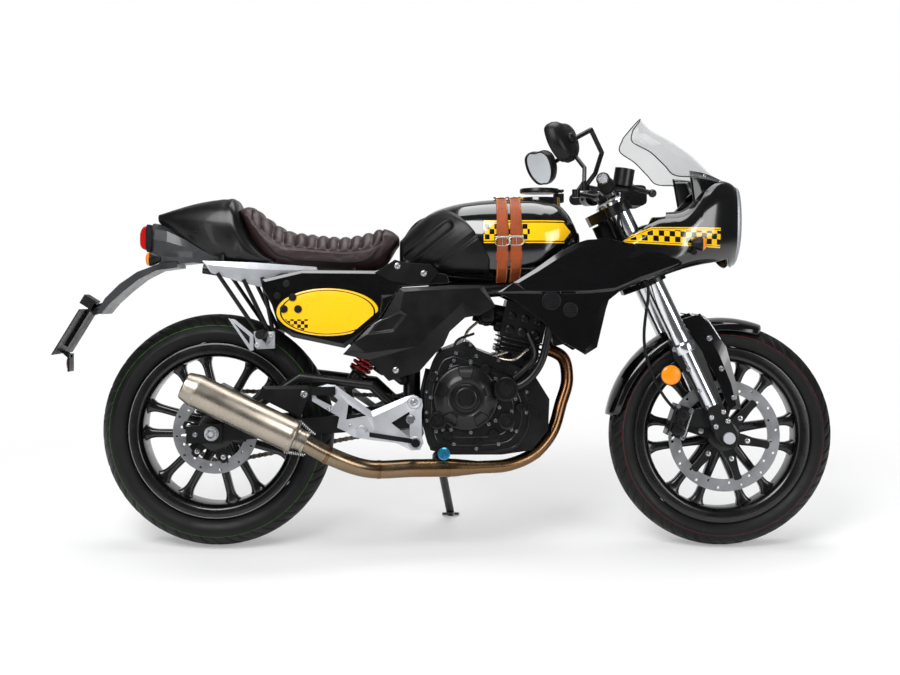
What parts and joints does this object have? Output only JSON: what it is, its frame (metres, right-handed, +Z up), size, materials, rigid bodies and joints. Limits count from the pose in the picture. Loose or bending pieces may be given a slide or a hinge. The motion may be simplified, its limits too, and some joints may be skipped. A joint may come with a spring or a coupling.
{
  "type": "cafe racer motorcycle",
  "caption": "Cafe racer motorcycle with half fairing, clear screen, ribbed seat, spoked cast wheels, side stand and upside-down fork.",
  "frame": {"origin": "point on the floor under the middle of the wheelbase, on the line through both tyres' feet", "axes": "+X forward, +Y to the rider's left, +Z up; the machine leans 10 degrees towards +Y onto its side stand"},
  "size_m": [2.0361, 0.7241, 1.1269],
  "materials": {
    "black_paint": "gloss",
    "dark_plastic": "satin",
    "yellow": "gloss",
    "chrome": "polished",
    "steel": "brushed",
    "alloy": "satin",
    "black_alloy": "satin",
    "tyre": "matte",
    "rubber": "matte",
    "leather": "satin",
    "tan_leather": "satin",
    "clear": "clear",
    "red_lens": "gloss",
    "amber_lens": "gloss",
    "white_plate": "gloss"
  },
  "bodies": {
    "chassis": {"crankcase": "black_alloy", "cylinder_and_head": "black_alloy", "drive_chain": "steel", "engine_covers": "black_alloy", "exhaust_pipe": "steel", "foot_brackets": "alloy", "foot_pedals": "alloy", "foot_pegs": "rubber", "frame_covers": "dark_plastic", "frame_spars": "black_paint", "front_indicators": "amber_lens", "fuel_tank": "black_paint", "headlamp": "clear", "headlamp_rim": "chrome", "lower_fairing": "black_paint", "number_plate": "white_plate", "plate_bracket": "dark_plastic", "radiator": "black_alloy", "rear_axle": "steel", "rear_caliper": "black_alloy", "rear_indicators": "amber_lens", "rear_shock": "black_paint", "seat": "leather", "side_covers": "black_paint", "silencer": "steel", "silencer_end_cap": "alloy", "stand_mount": "black_paint", "steering_head": "black_paint", "subframe": "black_paint", "swingarm": "black_paint", "tail_cowl": "dark_plastic", "tail_lamp": "red_lens", "tail_mudguard": "dark_plastic", "tail_trim": "alloy", "tank_side_pads": "dark_plastic", "tank_straps": "tan_leather", "upper_fairing": "yellow", "windscreen": "clear"},
    "steering": {"triple_clamps": "black_alloy", "fork_upper_tubes": "chrome", "fork_lowers": "chrome", "front_axle": "steel", "front_caliper": "black_alloy", "front_mudguard": "dark_plastic", "handlebars": "black_alloy", "grips": "rubber", "controls": "dark_plastic", "mirror_stems": "black_alloy", "mirrors": "dark_plastic", "instrument_pod": "dark_plastic", "brake_hose": "rubber"},
    "front_wheel": {"front_tyre": "tyre", "front_wheel_casting": "black_alloy", "front_disc": "steel"},
    "rear_wheel": {"rear_tyre": "tyre", "rear_wheel_casting": "black_alloy", "rear_disc": "steel", "rear_sprocket": "steel"},
    "side_stand": {"side_stand": "black_paint"},
    "fuel_cap": {"fuel_cap": "dark_plastic"}
  },
  "joints": [
    {"name": "rear_wheel_spin", "type": "hinge", "parent": "chassis", "child": "rear_wheel", "pos_m": [-0.6625, 0.05296, 0.30164], "axis": [0, 0.9848, -0.1736], "continuous": true},
    {"name": "steering_turn", "type": "hinge", "parent": "chassis", "child": "steering", "pos_m": [0.40434, 0.12954, 0.73593], "axis": [-0.4305, 0.1567, 0.8889], "range_deg": [-30, 30]},
    {"name": "front_wheel_spin", "type": "hinge", "parent": "steering", "child": "front_wheel", "pos_m": [0.6625, 0.05088, 0.28983], "axis": [0, 0.9848, -0.1736], "continuous": true},
    {"name": "side_stand_fold", "type": "hinge", "parent": "chassis", "child": "side_stand", "pos_m": [-0.07804, 0.14352, 0.19327], "axis": [0, 0.8984, 0.4392], "range_deg": [0, 100]},
    {"name": "fuel_cap_hinge", "type": "hinge", "parent": "chassis", "child": "fuel_cap", "pos_m": [0.24599, 0.16241, 0.92237], "axis": [0, 0.9848, -0.1736], "range_deg": [0, 95]}
  ]
}
